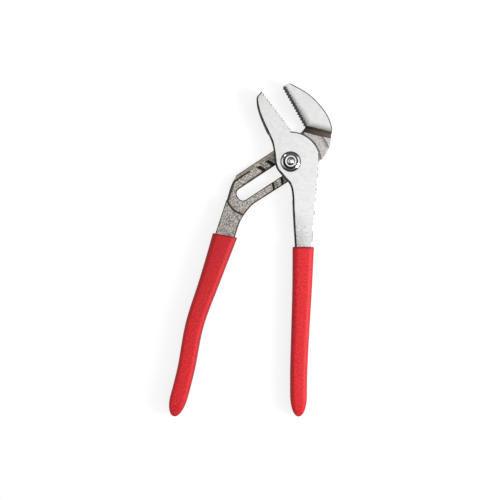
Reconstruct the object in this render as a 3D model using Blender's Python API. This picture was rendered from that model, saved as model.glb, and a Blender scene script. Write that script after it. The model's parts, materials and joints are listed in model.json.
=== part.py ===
"""Water pump pliers with a tongue-and-groove joint, 250 mm nominal length.

Two forged levers are held by a bolt that slides in the slot of one of them. An arc tongue on the back of the
other lever drops into one of a row of arc grooves, so the jaws stay parallel at every opening.

The origin is on the pivot axis, on the surface that the pliers lie on. +X is to the right, +Y points to the
jaws and +Z points to the viewer. Lengths are in metres and angles in degrees.
"""

import math

import bmesh
import bpy
from mathutils import Matrix, Vector

# Fits
RUNNING_GAP = 0.0003
GROUND_CLEARANCE = 0.0004
JAW_GAP = 0.0004
SHOULDER_GAP = 0.0003

# Stations of the bolt along the slot, counted from the jaw end
SLOT_ANGLE = 33.3
STATION_COUNT = 7
REST_STATION = 1
STATION_PITCH = 0.0078

# Slotted bar
SLOT_WIDTH = 0.0098
SLOT_CORNER = 0.0036
SLOT_END_PLAY = 0.0036
BAR_ABOVE = 0.0114
BAR_BELOW = 0.0104
BAR_THICKNESS = 0.0061
STRIP_WIDTH = 0.0034
STRIP_DROP = 0.0035
GROOVE_DEPTH = 0.0019
GROOVE_PLAY = 0.0013
GROOVE_START = -50.0
GROOVE_END = 60.0
GROOVE_RUN_OUT = 1.0
RECESS_CENTRE = (0.0009, -0.0016)
RECESS_RADIUS = 0.0170
RECESS_START = 190.0
RECESS_END = 285.0
SHOULDER_ANGLE = 76.6
CHANNEL_WIDTH = 0.0037
CHANNEL_DEPTH = 0.0021
ROOT_RAMP = 0.0034

# Head of the tongue lever
HEAD_RADIUS = 0.0224
HEAD_THICKNESS = 0.0060
STEP_MARGIN = 0.0056
TONGUE_WIDTH = 0.0026
TONGUE_INSET = 0.0001
TONGUE_ROOT = 0.0015
TONGUE_START = -6.0
TONGUE_END = 34.0

# Jaws
JAW_ANGLE = 29.0
CLOSING_ANGLE = 7.8
JAW_FACE = 0.01445
FIXED_JAW_REACH = 0.0518
FIXED_JAW_DEPTH = 0.0179
FIXED_TIP_WIDTH = 0.0052
MOVING_JAW_REACH = 0.0550
TOOTH_PITCH = 0.00245
TOOTH_DEPTH = 0.0011

# Handles: each steel tang starts at its grip's mouth, and its headings are turns from straight down
HANDLE_THICKNESS = 0.0084
TANG_END_WIDTH = 0.0088
TANG_SHORTFALL = 0.0120
BACK_RAMP_START = 0.0150
BACK_RAMP_END = 0.0060
FRONT_RAMP_START = 0.0270
FRONT_RAMP_END = 0.0020
SLOTTED_MOUTH = (-0.0165, -0.0334)
SLOTTED_MOUTH_WIDTH = 0.0145
SLOTTED_TAPER = 3.0
SLOTTED_GRIP_LENGTH = 0.1420
SLOTTED_HEADINGS = (18.8, 18.9, 11.0, 14.8)
TONGUE_MOUTH = (0.0097, -0.0635)
TONGUE_MOUTH_WIDTH = 0.0124
TONGUE_TAPER = 1.7
TONGUE_GRIP_LENGTH = 0.1276
TONGUE_HEADINGS = (1.6, 2.5, 2.1, 0.2)

# Grips
GRIP_WALL = 0.00135
GRIP_THICKNESS = 0.0132
GRIP_CORNER = 0.0042
GRIP_END_ROUND = 0.0155

# Bolt, washer and nut
BOLT_HEAD_LEDGE = 0.0020
BOLT_HEAD_OVERHANG = 0.0034
BOLT_HEAD_THICKNESS = 0.0021
BOLT_END_RADIUS = 0.0029
BOLT_END_DOME = 0.0009
BOLT_END_PROUD = 0.0007
WASHER_RADIUS = 0.0074
WASHER_THICKNESS = 0.0013
WASHER_EDGE = 0.0005
WASHER_CREST = 0.0009
WASHER_DISH = 0.0004
NUT_WALL = 0.0010
NUT_HEIGHT = 0.0016
NUT_CHAMFER = 0.0003

# Fineness of the mesh
CURVE_STEP = 0.0022
TURN_STEPS = 40
CORNER_STEPS = 4
HANDLE_STEPS = 14
CAP_STEPS = 6
CORNER_LIMIT = 0.95
SHARP_ANGLE = 40.0
MERGE_DISTANCE = 0.000001
CUT_MARGIN = 0.0020
FAR = 0.0900

# Free-form stretches of the outlines, as points on a smooth curve.
# End of the bar and heel of the tang, from the last station.
BAR_END = ((-0.0092, 0.0099), (-0.0120, 0.0042), (-0.0152, -0.0064))
TANG_HEEL = ((-0.0055, -0.0232), (-0.0018, -0.0168), (0.0030, -0.0110))
# Back of the fixed jaw, as depth behind the jaw face and reach along it.
JAW_HEEL = ((-0.0036, -0.0098), (0.0054, -0.0067), (0.0127, 0.0006), (0.0171, 0.0089))
# Its bulge and its slope to the tip, as shares of the jaw's depth and reach.
JAW_BACK_SHARES = ((1.0, 0.4), (0.77, 0.716))
# Back of the moving jaw, as depths behind its face and shares of its reach.
MOVING_JAW_DEPTHS = (0.0059, 0.0105, 0.0138, 0.0168)
MOVING_JAW_SHARES = (0.976, 0.821, 0.602, 0.360)
# Outer edge of the tongue lever, from below its jaw down to its neck, and back up its right side.
HEAD_LEFT = ((-0.0119, 0.0041), (-0.0106, -0.0040), (-0.0058, -0.0103), (-0.0004, -0.0166))
NECK_LEFT = ((0.0013, -0.0235), (0.0020, -0.0365))
NECK_RIGHT = ((0.0181, -0.0365), (0.0194, -0.0190))
HEAD_RIGHT = ((0.0203, -0.0090), (0.0208, 0.0000), (0.0204, 0.0079))
HEAD_ARC_START = 40.0

# Levels above the surface
LEVER_BACK = GROUND_CLEARANCE
BAR_FRONT = LEVER_BACK + BAR_THICKNESS
GROOVE_FLOOR = BAR_FRONT - GROOVE_DEPTH
CHANNEL_FLOOR = BAR_FRONT - CHANNEL_DEPTH
HEAD_BACK = BAR_FRONT + RUNNING_GAP
TONGUE_BOTTOM = GROOVE_FLOOR + RUNNING_GAP
LEVER_FRONT = HEAD_BACK + HEAD_THICKNESS
HANDLE_BACK = (GRIP_THICKNESS - HANDLE_THICKNESS) / 2
HANDLE_FRONT = HANDLE_BACK + HANDLE_THICKNESS
WASHER_BACK = LEVER_FRONT + RUNNING_GAP
WASHER_FRONT = WASHER_BACK + WASHER_THICKNESS
NUT_BACK = WASHER_FRONT - WASHER_DISH + RUNNING_GAP
NUT_FRONT = NUT_BACK + NUT_HEIGHT
BOLT_FRONT = NUT_FRONT + BOLT_END_PROUD

# Sizes that follow from the ones above
BOLT_RADIUS = SLOT_WIDTH / 2 - RUNNING_GAP
BOLT_HEAD_HALF_FLATS = SLOT_WIDTH / 2 + BOLT_HEAD_LEDGE
BOLT_HEAD_RADIUS = BOLT_RADIUS + BOLT_HEAD_OVERHANG
FIRST_STATION = REST_STATION * STATION_PITCH
LAST_STATION = FIRST_STATION - (STATION_COUNT - 1) * STATION_PITCH
TONGUE_OUTER = HEAD_RADIUS - TONGUE_INSET
TONGUE_INNER = TONGUE_OUTER - TONGUE_WIDTH
GROOVE_INNER = TONGUE_INNER - RUNNING_GAP
GROOVE_OUTER = TONGUE_OUTER + GROOVE_PLAY
STEP_RADIUS = HEAD_RADIUS + STEP_MARGIN
SHOULDER_DISTANCE = HEAD_RADIUS + SHOULDER_GAP
MOVING_JAW_ANGLE = JAW_ANGLE + CLOSING_ANGLE
FACE_TRAVEL = FIRST_STATION * math.cos(math.radians(SLOT_ANGLE - JAW_ANGLE))
FIXED_FACE = JAW_FACE + JAW_GAP + FACE_TRAVEL


def polar(radius, degrees):
    """The point at this distance and angle from the pivot, in plan."""
    turn = math.radians(degrees)
    return Vector((radius * math.cos(turn), radius * math.sin(turn)))


def slot_point(along, across):
    """The point this far along the slot from the pivot and this far across it, in plan."""
    return polar(along, SLOT_ANGLE) + polar(across, SLOT_ANGLE + 90)


def jaw_point(face, angle, depth, reach):
    """The point this deep behind a jaw face and this far along it, in plan."""
    return polar(face + depth, angle) + polar(reach, angle + 90)


def arc(centre, radius, start, end):
    """Points along an arc, about one curve step apart."""
    steps = max(2, math.ceil(abs(math.radians(end - start)) * radius / CURVE_STEP))
    return [centre + polar(radius, start + (end - start) * i / steps) for i in range(steps + 1)]


def smooth_run(points):
    """Points along a smooth curve that passes through all the points given."""
    points = [Vector(point) for point in points]
    ends = [2 * points[0] - points[1]] + points + [2 * points[-1] - points[-2]]
    run = []
    for before, start, end, after in zip(ends, ends[1:], ends[2:], ends[3:]):
        span = (end - start).length
        leave = (end - before) * span / (span + (start - before).length)
        arrive = (after - start) * span / (span + (after - end).length)
        steps = max(1, math.ceil(span / CURVE_STEP))
        for i in range(steps):
            t = i / steps
            run.append(
                (2 * t**3 - 3 * t**2 + 1) * start
                + (t**3 - 2 * t**2 + t) * leave
                + (3 * t**2 - 2 * t**3) * end
                + (t**3 - t**2) * arrive
            )
    return run + [points[-1]]


def toothed_edge(face, angle, tip, root, depth):
    """A row of teeth from a jaw's tip to its root. Depth is the side that the gaps are cut to."""
    count = max(2, round((tip - root) / TOOTH_PITCH))
    pitch = (tip - root) / count
    edge = []
    for i in range(count):
        edge.append(jaw_point(face, angle, 0, tip - i * pitch))
        edge.append(jaw_point(face, angle, depth, tip - (i + 0.5) * pitch))
    return edge + [jaw_point(face, angle, 0, root)]


def rounded_box(low, high, half_width, corner):
    """A rounded rectangle along the slot, in plan."""
    corner = min(corner, half_width * CORNER_LIMIT)
    outline = []
    for along, across, start in ((high, 1, 0), (low, 1, 90), (low, -1, 180), (high, -1, 270)):
        inward = corner if along == low else -corner
        centre = slot_point(along + inward, across * (half_width - corner))
        outline += arc(centre, corner, start + SLOT_ANGLE, start + 90 + SLOT_ANGLE)
    return outline


def material(name, colour, roughness, metallic):
    made = bpy.data.materials.new(name)
    made.use_nodes = True
    shader = made.node_tree.nodes["Principled BSDF"]
    shader.inputs["Base Color"].default_value = (*colour, 1)
    shader.inputs["Roughness"].default_value = roughness
    shader.inputs["Metallic"].default_value = metallic
    return made


def object_of(name, mesh_data):
    """An object that holds this bmesh, with its faces turned outwards."""
    bmesh.ops.recalc_face_normals(mesh_data, faces=mesh_data.faces)
    mesh = bpy.data.meshes.new(name)
    mesh_data.to_mesh(mesh)
    mesh_data.free()
    made = bpy.data.objects.new(name, mesh)
    bpy.context.scene.collection.objects.link(made)
    return made


def add_prism(mesh_data, outline, low, high, place=Matrix()):
    """Adds an outline of the plan, raised from one level to another."""
    corners = [mesh_data.verts.new(place @ Vector((*point, low))) for point in outline]
    base = mesh_data.faces.new(corners)
    raised = bmesh.ops.extrude_face_region(mesh_data, geom=[base])["geom"]
    top = [item for item in raised if isinstance(item, bmesh.types.BMVert)]
    bmesh.ops.translate(mesh_data, verts=top, vec=place.to_3x3() @ Vector((0, 0, high - low)))


def prism(name, outline, low, high, place=Matrix()):
    mesh_data = bmesh.new()
    add_prism(mesh_data, outline, low, high, place)
    return object_of(name, mesh_data)


def turned(name, profile):
    """A turned piece about the pivot axis, from a closed profile of radius and level."""
    mesh_data = bmesh.new()
    corners = [mesh_data.verts.new((radius, 0, level)) for radius, level in profile]
    rim = [mesh_data.edges.new(pair) for pair in zip(corners, corners[1:])]
    if profile[0][0] > 0:
        rim.append(mesh_data.edges.new((corners[-1], corners[0])))
    bmesh.ops.spin(
        mesh_data,
        geom=corners + rim,
        axis=(0, 0, 1),
        cent=(0, 0, 0),
        angle=math.tau,
        steps=TURN_STEPS,
        use_merge=True,
    )
    bmesh.ops.remove_doubles(mesh_data, verts=mesh_data.verts, dist=MERGE_DISTANCE)
    made = object_of(name, mesh_data)
    made.data.shade_smooth()
    made.data.set_sharp_from_angle(angle=math.radians(SHARP_ANGLE))
    return made


def combine(target, tool, operation):
    """Cuts the tool from the target, or joins it on, and hides the tool."""
    step = target.modifiers.new(tool.name, "BOOLEAN")
    step.operation = operation
    step.object = tool
    step.solver = "EXACT"
    tool.hide_render = True
    tool.display_type = "WIRE"
    tool.parent = target


def handle_frames(mouth, headings, length, stretches):
    """Points down a handle's centre line, each with its direction and its share of the length."""
    route = [Vector(mouth)]
    for heading in headings:
        route.append(route[-1] + polar(length / len(headings), -90 - heading))
    fine = smooth_run(route)
    run = [0.0]
    for start, end in zip(fine, fine[1:]):
        run.append(run[-1] + (end - start).length)
    frames = []
    for share in stretches:
        aim = share * run[-1]
        i = next((j for j in range(len(run) - 2) if run[j + 1] >= aim), len(run) - 2)
        part = (aim - run[i]) / (run[i + 1] - run[i])
        frames.append((fine[i].lerp(fine[i + 1], part), (fine[i + 1] - fine[i]).normalized(), share))
    return frames


def tang_half_width(share, mouth_width, taper):
    return (TANG_END_WIDTH + (mouth_width - TANG_END_WIDTH) * (1 - share) ** taper) / 2


def tang_outline(handle, grow):
    """The sides of a tang from its mouth to its end and back, in plan."""
    mouth, headings, length, mouth_width, taper = handle
    last = (length - TANG_SHORTFALL + grow) / length
    shares = [last * i / HANDLE_STEPS for i in range(HANDLE_STEPS + 1)]
    left, right = [], []
    for centre, ahead, share in handle_frames(mouth, headings, length, shares):
        side = Vector((-ahead.y, ahead.x)) * (tang_half_width(share, mouth_width, taper) + grow)
        left.append(centre - side)
        right.append(centre + side)
    return left + right[::-1]


def handle_cut(name, handle, profile):
    """A cutter across a handle, from a profile of distance past the mouth and level."""
    mouth, headings = handle[0], handle[1]
    ahead = polar(1, -90 - headings[0])
    side = Vector((-ahead.y, ahead.x))
    origin = Vector(mouth) - side * FAR / 2
    place = Matrix(
        (
            (ahead.x, 0, side.x, origin.x),
            (ahead.y, 0, side.y, origin.y),
            (0, 1, 0, 0),
            (0, 0, 0, 1),
        )
    )
    return prism(name, profile, 0, FAR, place)


def slotted_handle():
    mouth = slot_point(LAST_STATION, 0) + Vector(SLOTTED_MOUTH)
    return mouth, SLOTTED_HEADINGS, SLOTTED_GRIP_LENGTH, SLOTTED_MOUTH_WIDTH, SLOTTED_TAPER


def tongue_handle():
    return TONGUE_MOUTH, TONGUE_HEADINGS, TONGUE_GRIP_LENGTH, TONGUE_MOUTH_WIDTH, TONGUE_TAPER


def jaw_root():
    """The corner where the fixed jaw's face meets the shoulder wall that clears the round head."""
    face, wall = polar(1, JAW_ANGLE), polar(1, SHOULDER_ANGLE)
    first = slot_point(FIRST_STATION, 0)
    levels = Vector((FIXED_FACE, SHOULDER_DISTANCE + first.dot(wall)))
    return Matrix((face, wall)).inverted() @ levels


def slotted_outline():
    top = BAR_ABOVE + STRIP_WIDTH
    last = slot_point(LAST_STATION, 0)
    root = jaw_root()
    root_reach = root.dot(polar(1, JAW_ANGLE + 90))
    root_along = root.dot(polar(1, SLOT_ANGLE))
    outline = toothed_edge(FIXED_FACE, JAW_ANGLE, FIXED_JAW_REACH, root_reach, TOOTH_DEPTH)
    outline.append(slot_point(root_along - ROOT_RAMP, top))
    tang = tang_outline(slotted_handle(), 0)
    bar_end = [slot_point(LAST_STATION, top)] + [last + Vector(point) for point in BAR_END]
    outline += smooth_run(bar_end)
    outline += tang
    heel = [last + Vector(point) for point in TANG_HEEL]
    outline += smooth_run([tang[-1]] + heel + [slot_point(LAST_STATION, -BAR_BELOW)])[1:]
    back = [jaw_point(FIXED_FACE, JAW_ANGLE, *point) for point in JAW_HEEL]
    for depth, reach in JAW_BACK_SHARES:
        back.append(jaw_point(FIXED_FACE, JAW_ANGLE, FIXED_JAW_DEPTH * depth, FIXED_JAW_REACH * reach))
    back.append(jaw_point(FIXED_FACE, JAW_ANGLE, FIXED_TIP_WIDTH, FIXED_JAW_REACH))
    return outline + smooth_run(back)


def relief_outline():
    """The area of the bar that is milled down to clear the head, from within the channel to the tang."""
    wall = polar(1, SHOULDER_ANGLE)
    along = polar(1, SHOULDER_ANGLE - 90)
    foot = slot_point(FIRST_STATION, 0) + wall * (SHOULDER_DISTANCE - CHANNEL_WIDTH / 2)
    last = slot_point(LAST_STATION, 0)
    outline = [foot - along * FAR, last + Vector((-FAR / 2, 0))]
    outline += arc(last + Vector(RECESS_CENTRE), RECESS_RADIUS, RECESS_START, RECESS_END)
    return outline + [Vector((FAR / 2, -FAR / 2)), foot + along * FAR / 2]


def channel_outline():
    """The channel along the foot of the shoulder wall."""
    wall = polar(1, SHOULDER_ANGLE)
    along = polar(1, SHOULDER_ANGLE - 90) * FAR / 2
    near = slot_point(FIRST_STATION, 0) + wall * (SHOULDER_DISTANCE - CHANNEL_WIDTH)
    far = near + wall * CHANNEL_WIDTH
    return [near - along, near + along, far + along, far - along]


def ring_sector(centre, inner, outer, start, end):
    return arc(centre, outer, start, end) + arc(centre, inner, end, start)


def groove_cutters():
    """One arc groove for each station. The first runs out into the channel."""
    mesh_data = bmesh.new()
    channel_share = (SHOULDER_DISTANCE - CHANNEL_WIDTH) / GROOVE_INNER
    first_end = SHOULDER_ANGLE - math.degrees(math.acos(min(1, channel_share))) + GROOVE_RUN_OUT
    for station in range(STATION_COUNT):
        centre = slot_point(FIRST_STATION - station * STATION_PITCH, 0)
        end = SLOT_ANGLE + GROOVE_END if station else first_end
        sector = ring_sector(centre, GROOVE_INNER, GROOVE_OUTER, SLOT_ANGLE + GROOVE_START, end)
        add_prism(mesh_data, sector, GROOVE_FLOOR, BAR_FRONT + CUT_MARGIN)
    return object_of("groove_cutters", mesh_data)


def strip_cutter():
    """The slope along the upper edge of the bar."""
    root_along = jaw_root().dot(polar(1, SLOT_ANGLE))
    slope = STRIP_DROP / STRIP_WIDTH
    past = STRIP_WIDTH + CUT_MARGIN
    profile = [
        (BAR_ABOVE - CUT_MARGIN, BAR_FRONT + CUT_MARGIN * slope),
        (BAR_ABOVE + past, BAR_FRONT - past * slope),
        (BAR_ABOVE + past, BAR_FRONT + CUT_MARGIN * slope),
    ]
    along, across = polar(1, SLOT_ANGLE), polar(1, SLOT_ANGLE + 90)
    start = slot_point(LAST_STATION - SLOT_WIDTH, 0)
    place = Matrix(
        (
            (across.x, 0, along.x, start.x),
            (across.y, 0, along.y, start.y),
            (0, 1, 0, 0),
            (0, 0, 0, 1),
        )
    )
    length = root_along - ROOT_RAMP - RUNNING_GAP - LAST_STATION + SLOT_WIDTH
    return prism("strip_cutter", profile, 0, length, place)


def ramp_profile(ramp_start, ramp_end, start_level, end_level, outside):
    """The side view of a handle that slopes from one level to another before its grip."""
    run_out = (start_level - end_level) / (ramp_start - ramp_end) * CUT_MARGIN
    return [
        (-ramp_start - CUT_MARGIN, start_level + run_out),
        (-ramp_end, end_level),
        (2 * FAR, end_level),
        (2 * FAR, outside),
        (-ramp_start - CUT_MARGIN, outside),
    ]


def slotted_lever(finish):
    above = LEVER_FRONT + CUT_MARGIN
    below = -CUT_MARGIN
    lever = prism("slotted_lever", slotted_outline(), LEVER_BACK, LEVER_FRONT)
    lever.data.materials.append(finish)
    combine(lever, prism("bar_relief", relief_outline(), BAR_FRONT, above), "DIFFERENCE")
    combine(lever, prism("channel_cutter", channel_outline(), CHANNEL_FLOOR, above), "DIFFERENCE")
    combine(lever, groove_cutters(), "DIFFERENCE")
    combine(lever, strip_cutter(), "DIFFERENCE")
    slot_low = LAST_STATION - BOLT_RADIUS - SLOT_END_PLAY
    slot_high = FIRST_STATION + BOLT_RADIUS + SLOT_END_PLAY
    slot = rounded_box(slot_low, slot_high, SLOT_WIDTH / 2, SLOT_CORNER)
    combine(lever, prism("slot_cutter", slot, below, above), "DIFFERENCE")
    head_room = BOLT_HEAD_RADIUS + RUNNING_GAP
    track_half = BOLT_HEAD_HALF_FLATS + RUNNING_GAP
    track = rounded_box(LAST_STATION - head_room, FIRST_STATION + head_room, track_half, SLOT_CORNER)
    track_top = BOLT_HEAD_THICKNESS + RUNNING_GAP
    combine(lever, prism("track_cutter", track, below, track_top), "DIFFERENCE")
    handle = slotted_handle()
    front = [(-FAR / 2, HANDLE_FRONT), (2 * FAR, HANDLE_FRONT), (2 * FAR, above), (-FAR / 2, above)]
    combine(lever, handle_cut("tang_front", handle, front), "DIFFERENCE")
    back = ramp_profile(BACK_RAMP_START, BACK_RAMP_END, LEVER_BACK, HANDLE_BACK, below)
    combine(lever, handle_cut("tang_back", handle, back), "DIFFERENCE")
    return lever


def tongue_outline():
    crotch_reach = math.sqrt(HEAD_RADIUS**2 - JAW_FACE**2)
    crotch_angle = MOVING_JAW_ANGLE + math.degrees(math.acos(JAW_FACE / HEAD_RADIUS))
    tang = tang_outline(tongue_handle(), 0)
    tip = jaw_point(JAW_FACE, MOVING_JAW_ANGLE, 0, MOVING_JAW_REACH)
    back = [
        jaw_point(JAW_FACE, MOVING_JAW_ANGLE, -depth, MOVING_JAW_REACH * share)
        for depth, share in zip(MOVING_JAW_DEPTHS, MOVING_JAW_SHARES)
    ]
    outline = smooth_run([tip, *back, *HEAD_LEFT, *NECK_LEFT, tang[0]])[:-1]
    outline += tang
    head_arc = arc(Vector((0, 0)), HEAD_RADIUS, HEAD_ARC_START, crotch_angle)
    outline += smooth_run([tang[-1], *NECK_RIGHT, *HEAD_RIGHT, head_arc[0]])[1:-1]
    outline += head_arc
    teeth = toothed_edge(JAW_FACE, MOVING_JAW_ANGLE, MOVING_JAW_REACH, crotch_reach, -TOOTH_DEPTH)
    return outline + teeth[-2:0:-1]


def tongue_lever(finish):
    above = LEVER_FRONT + CUT_MARGIN
    below = -CUT_MARGIN
    pivot = Vector((0, 0))
    lever = prism("tongue_lever", tongue_outline(), LEVER_BACK, LEVER_FRONT)
    lever.data.materials.append(finish)
    step = arc(pivot, STEP_RADIUS, 0, 360)[:-1]
    combine(lever, prism("head_back_cutter", step, below, HEAD_BACK), "DIFFERENCE")
    start, end = SLOT_ANGLE + TONGUE_START, SLOT_ANGLE + TONGUE_END
    tongue = ring_sector(pivot, TONGUE_INNER, TONGUE_OUTER, start, end)
    rib = prism("tongue_rib", tongue, TONGUE_BOTTOM, HEAD_BACK + TONGUE_ROOT)
    combine(lever, rib, "UNION")
    bore = arc(pivot, BOLT_RADIUS + RUNNING_GAP, 0, 360)[:-1]
    combine(lever, prism("bolt_hole_cutter", bore, below, above), "DIFFERENCE")
    handle = tongue_handle()
    front = ramp_profile(FRONT_RAMP_START, FRONT_RAMP_END, LEVER_FRONT, HANDLE_FRONT, above)
    combine(lever, handle_cut("neck_front", handle, front), "DIFFERENCE")
    back = ramp_profile(BACK_RAMP_START, BACK_RAMP_END, LEVER_BACK, HANDLE_BACK, below)
    combine(lever, handle_cut("neck_back", handle, back), "DIFFERENCE")
    return lever


def grip_section(centre, ahead, half_width, half_height):
    """A rounded rectangle across a handle, standing on the plan."""
    side = Vector((-ahead.y, ahead.x))
    corner = min(GRIP_CORNER, half_width * CORNER_LIMIT, half_height * CORNER_LIMIT)
    section = []
    for across, up, start in ((1, 1, 0), (-1, 1, 90), (-1, -1, 180), (1, -1, 270)):
        for i in range(CORNER_STEPS + 1):
            bend = polar(corner, start + 90 * i / CORNER_STEPS)
            point = centre + side * (across * (half_width - corner) + bend.x)
            level = GRIP_THICKNESS / 2 + up * (half_height - corner) + bend.y
            section.append((point.x, point.y, level))
    return section


def grip(name, handle, finish):
    """A dipped grip: a sleeve that follows its tang and closes in a rounded end."""
    mouth, headings, length, mouth_width, taper = handle
    cap_start = 1 - GRIP_END_ROUND / length
    shares = [cap_start * i / HANDLE_STEPS for i in range(HANDLE_STEPS)]
    cap = [math.sin(math.pi / 2 * i / CAP_STEPS) for i in range(CAP_STEPS)]
    shares += [cap_start + (1 - cap_start) * part for part in cap]
    mesh_data = bmesh.new()
    rings = []
    for centre, ahead, share in handle_frames(mouth, headings, length, shares):
        past_cap = max(0.0, (share - cap_start) / (1 - cap_start))
        shrink = math.sqrt(1 - past_cap**2)
        half_width = tang_half_width(share, mouth_width, taper) + RUNNING_GAP + GRIP_WALL
        section = grip_section(centre, ahead, half_width * shrink, GRIP_THICKNESS / 2 * shrink)
        corners = [mesh_data.verts.new(point) for point in section]
        rings.append([mesh_data.edges.new(pair) for pair in zip(corners, corners[1:] + corners[:1])])
    for ring, following in zip(rings, rings[1:]):
        bmesh.ops.bridge_loops(mesh_data, edges=ring + following)
    bmesh.ops.contextual_create(mesh_data, geom=rings[0])
    end = bmesh.ops.contextual_create(mesh_data, geom=rings[-1])["faces"]
    pole = bmesh.ops.poke(mesh_data, faces=end)["verts"][0]
    tip = handle_frames(mouth, headings, length, [1.0])[0][0]
    pole.co = (tip.x, tip.y, GRIP_THICKNESS / 2)
    made = object_of(name, mesh_data)
    made.data.shade_smooth()
    made.data.set_sharp_from_angle(angle=math.radians(SHARP_ANGLE))
    made.data.materials.append(finish)
    hollow = tang_outline(handle, RUNNING_GAP)
    back_up = polar(CUT_MARGIN, 90 - headings[0])
    hollow = [hollow[0] + back_up] + hollow + [hollow[-1] + back_up]
    cavity = prism(name + "_cavity", hollow, HANDLE_BACK - RUNNING_GAP, HANDLE_FRONT + RUNNING_GAP)
    combine(made, cavity, "DIFFERENCE")
    return made


def quarter(centre, radii, start):
    """Points of radius and level along a quarter of an ellipse."""
    turns = [math.radians(start + 90 * i / CORNER_STEPS) for i in range(CORNER_STEPS + 1)]
    return [(centre[0] + radii[0] * math.cos(t), centre[1] + radii[1] * math.sin(t)) for t in turns]


def pivot_bolt(finish):
    """A shoulder bolt. Two flats on its head keep it from turning in the slot."""
    profile = [
        (0, 0),
        (BOLT_HEAD_RADIUS, 0),
        (BOLT_HEAD_RADIUS, BOLT_HEAD_THICKNESS),
        (BOLT_RADIUS, BOLT_HEAD_THICKNESS),
        (BOLT_RADIUS, LEVER_FRONT),
        (BOLT_END_RADIUS, LEVER_FRONT),
        *quarter((0, BOLT_FRONT - BOLT_END_DOME), (BOLT_END_RADIUS, BOLT_END_DOME), 0),
    ]
    bolt = turned("pivot_bolt", profile)
    bolt.data.materials.append(finish)
    mesh_data = bmesh.new()
    reach = 2 * BOLT_HEAD_RADIUS
    for sign in (1, -1):
        near = sign * BOLT_HEAD_HALF_FLATS
        far = sign * reach
        corners = ((-reach, near), (reach, near), (reach, far), (-reach, far))
        flat = [slot_point(*corner) for corner in corners]
        add_prism(mesh_data, flat, -CUT_MARGIN, BOLT_HEAD_THICKNESS + RUNNING_GAP)
    combine(bolt, object_of("bolt_flat_cutters", mesh_data), "DIFFERENCE")
    return bolt


def pivot_washer(finish):
    """A dished washer on the face of the head."""
    bore = BOLT_END_RADIUS + RUNNING_GAP
    crest = WASHER_RADIUS - WASHER_CREST
    rise = WASHER_THICKNESS - WASHER_EDGE
    floor = WASHER_FRONT - WASHER_DISH
    profile = [
        (bore, WASHER_BACK),
        (WASHER_RADIUS, WASHER_BACK),
        *quarter((crest, WASHER_FRONT - rise), (WASHER_CREST, rise), 0),
        *quarter((crest, floor), (WASHER_CREST, WASHER_DISH), 90)[1:],
        (bore, floor),
    ]
    washer = turned("pivot_washer", profile)
    washer.data.materials.append(finish)
    return washer


def pivot_nut(finish):
    """A round collar nut on the end of the bolt."""
    bore = BOLT_END_RADIUS + RUNNING_GAP
    rim = bore + NUT_WALL
    profile = [
        (bore, NUT_BACK),
        (rim, NUT_BACK),
        (rim, NUT_FRONT - NUT_CHAMFER),
        (rim - NUT_CHAMFER, NUT_FRONT),
        (bore + NUT_CHAMFER, NUT_FRONT),
        (bore, NUT_FRONT - NUT_CHAMFER),
    ]
    nut = turned("pivot_nut", profile)
    nut.data.materials.append(finish)
    return nut


def group(name, pieces):
    """An empty on the pivot axis that carries the pieces of one moving body."""
    carrier = bpy.data.objects.new(name, None)
    bpy.context.scene.collection.objects.link(carrier)
    for piece in pieces:
        piece.parent = carrier
    return carrier


def main():
    for item in list(bpy.data.objects):
        bpy.data.objects.remove(item)
    forged = material("forged_steel", (0.46, 0.43, 0.40), 0.55, 0.9)
    satin = material("satin_steel", (0.80, 0.80, 0.79), 0.35, 1.0)
    chrome = material("bright_chrome", (0.86, 0.86, 0.87), 0.12, 1.0)
    red = material("red_dipped_vinyl", (0.69, 0.022, 0.027), 0.45, 0.0)
    slotted = group(
        "slotted_half",
        [slotted_lever(forged), grip("slotted_lever_grip", slotted_handle(), red)],
    )
    pivot = group("pivot", [pivot_bolt(chrome), pivot_washer(chrome), pivot_nut(chrome)])
    tongue = group(
        "tongue_half",
        [tongue_lever(satin), grip("tongue_lever_grip", tongue_handle(), red)],
    )
    pivot.parent = slotted
    tongue.parent = pivot


if __name__ == "__main__":
    main()
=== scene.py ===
"""Finished look of a pair of water pump pliers with dipped grips.

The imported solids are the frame. Each lever is an eased copy of its solid, the pivot pieces and the grips are
modelled on the same axes, and every surface gets its own finish. Lengths are in metres.
"""

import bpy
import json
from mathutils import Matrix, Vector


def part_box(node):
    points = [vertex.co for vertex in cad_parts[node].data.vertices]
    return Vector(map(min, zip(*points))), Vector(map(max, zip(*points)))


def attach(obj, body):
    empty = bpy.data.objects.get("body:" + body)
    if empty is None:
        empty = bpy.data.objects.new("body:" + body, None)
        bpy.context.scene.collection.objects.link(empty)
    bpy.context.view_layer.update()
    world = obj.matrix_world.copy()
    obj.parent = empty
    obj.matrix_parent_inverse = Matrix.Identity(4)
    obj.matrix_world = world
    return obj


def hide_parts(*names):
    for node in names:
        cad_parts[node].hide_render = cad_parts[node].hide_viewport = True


bl_info = {
    "name": "Water Pump Pliers",
    "version": (1, 0, 0),
    "blender": (4, 5, 0),
    "location": "3D View > Sidebar > Pliers",
    "description": "Builds water pump pliers with eased levers, a turned pivot and dipped grips",
    "category": "Object",
}

import functools
import json
import math

import bmesh
import bpy
from bpy.props import FloatProperty, FloatVectorProperty, IntProperty, PointerProperty
from mathutils import Matrix, Vector

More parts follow.
